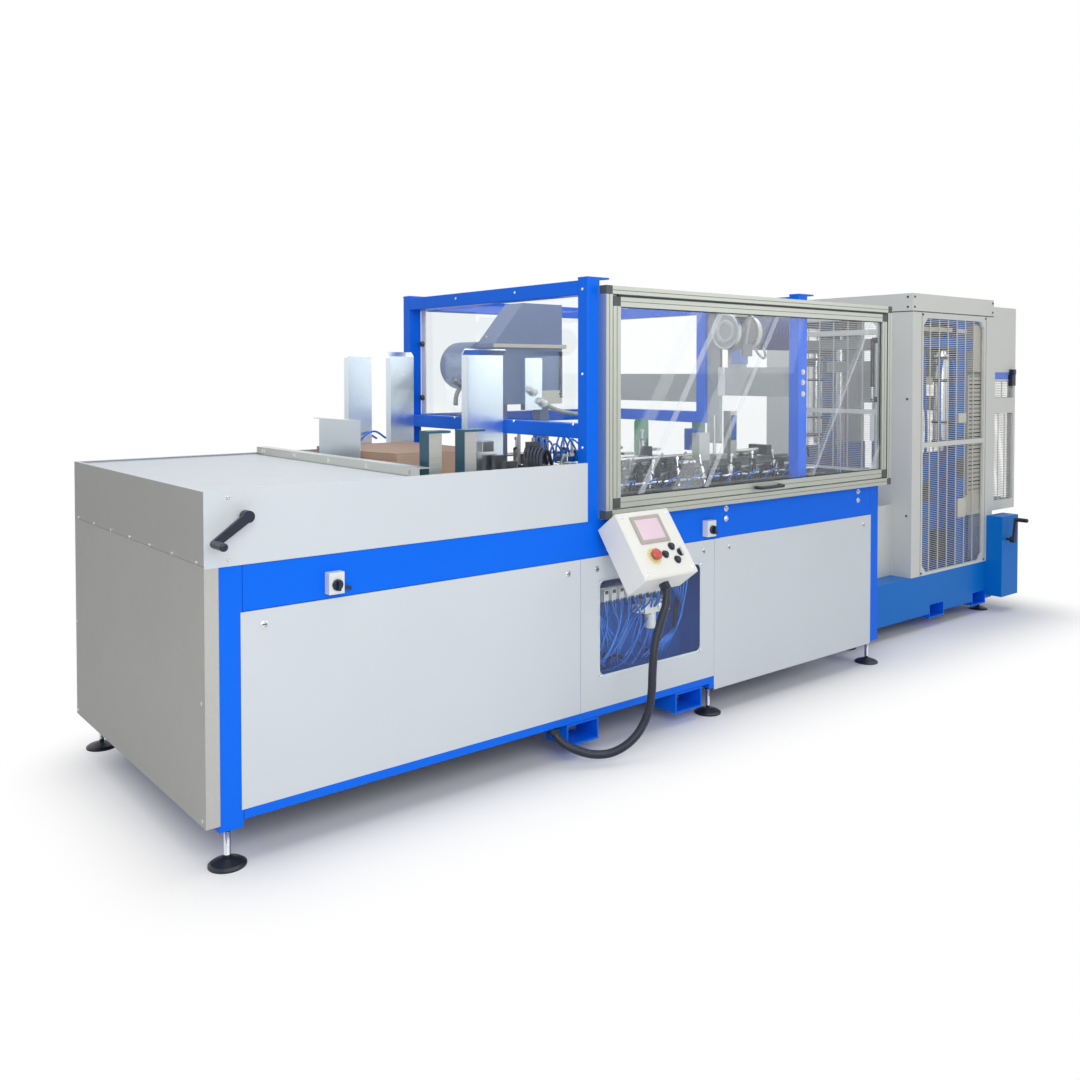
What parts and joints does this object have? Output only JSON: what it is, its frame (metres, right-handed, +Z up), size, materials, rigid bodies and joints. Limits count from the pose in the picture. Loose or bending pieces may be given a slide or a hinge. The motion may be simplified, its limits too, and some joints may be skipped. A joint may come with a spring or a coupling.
{
  "type": "tray erector",
  "caption": "Tray erecting machine with a blank magazine, a guarded forming section with a lift-up door, and a mesh-guarded press tower.",
  "frame": {"origin": "on the floor at the centre of the machine's box", "axes": "+X along the product flow from magazine to outfeed, operator at -Y, +Z up"},
  "size_m": [5.598, 1.7275, 2.029],
  "materials": {
    "frame_blue": "gloss",
    "panel_grey": "satin",
    "tower_white": "satin",
    "machine_grey": "satin",
    "slate_blue": "satin",
    "guide_green": "gloss",
    "zinc": "brushed",
    "stainless": "brushed",
    "alu_profile": "satin",
    "chrome": "polished",
    "black_plastic": "matte",
    "black_steel": "satin",
    "console_cream": "satin",
    "clear_sheet": "clear",
    "board": "matte",
    "valve_grey": "satin"
  },
  "bodies": {
    "machine": {"air_fittings": "valve_grey", "base_posts": "frame_blue", "base_rails": "frame_blue", "bay_box": "slate_blue", "bay_front": "frame_blue", "blank_feeder": "slate_blue", "blank_stack": "board", "clamp_levers": "black_plastic", "clamp_stands": "stainless", "clear_panes": "clear_sheet", "conduit": "black_plastic", "conduit_glands": "black_plastic", "console_box": "console_cream", "console_bracket": "panel_grey", "console_controls": "black_plastic", "crossbar": "stainless", "door_frame": "alu_profile", "door_hinge": "black_steel", "drive_box": "frame_blue", "end_panel": "frame_blue", "fork_sleeves": "frame_blue", "forming_deck": "machine_grey", "gear_motor": "machine_grey", "green_guides": "guide_green", "guard_posts": "frame_blue", "guard_rails": "frame_blue", "housing_sheets": "panel_grey", "lane_fittings": "stainless", "levelling_feet": "chrome", "magazine_guides": "zinc", "magazine_table": "stainless", "outfeed_guard": "tower_white", "partition_beams": "machine_grey", "press_columns": "chrome", "press_covers": "tower_white", "press_cylinders": "chrome", "press_frame": "frame_blue", "press_plates": "machine_grey", "side_panels": "panel_grey", "strut_bracket": "black_steel", "top_cover": "panel_grey", "tower_base": "frame_blue", "tower_hood": "tower_white", "tower_meshes": "tower_white", "tower_posts": "tower_white", "transfer_sheets": "tower_white", "transport_lanes": "machine_grey"},
    "door": {"leaf_frame": "alu_profile", "leaf_pane": "clear_sheet", "door_handle": "black_plastic", "strut_arm": "black_steel"},
    "strut_lower": {"strut_rod": "chrome"},
    "strut_upper": {"strut_cylinder": "black_steel"},
    "infeed_handcrank": {"infeed_crank": "black_plastic"},
    "side_handcrank": {"side_crank": "black_plastic"},
    "ram": {"forming_ram": "machine_grey"}
  },
  "joints": [
    {"name": "door_hinge", "type": "hinge", "parent": "machine", "child": "door", "pos_m": [-0.1455, -0.61957, 1.869], "axis": [-1, 0, 0], "range_deg": [0, 85]},
    {"name": "strut_pivot", "type": "hinge", "parent": "machine", "child": "strut_lower", "pos_m": [0.821, -0.54357, 1.412], "axis": [1, 0, 0], "range_deg": [0, 30]},
    {"name": "strut_stroke", "type": "slide", "parent": "strut_lower", "child": "strut_upper", "axis": [0, 0, 1], "range_m": [0, 0.1081]},
    {"name": "infeed_crank_turn", "type": "hinge", "parent": "machine", "child": "infeed_handcrank", "pos_m": [-2.677, -0.61357, 1.109], "axis": [0, -1, 0], "continuous": true},
    {"name": "side_crank_turn", "type": "hinge", "parent": "machine", "child": "side_handcrank", "pos_m": [2.491, -0.50357, 0.48], "axis": [0, -1, 0], "continuous": true},
    {"name": "ram_slide", "type": "slide", "parent": "machine", "child": "ram", "axis": [0, 0, -1], "range_m": [0, 0.35]}
  ],
  "couplings": [
    {"joint": "strut_pivot", "follows": "door_hinge", "ratio": 0.34709},
    {"joint": "strut_stroke", "follows": "door_hinge", "m_per_rad": 0.072177}
  ]
}
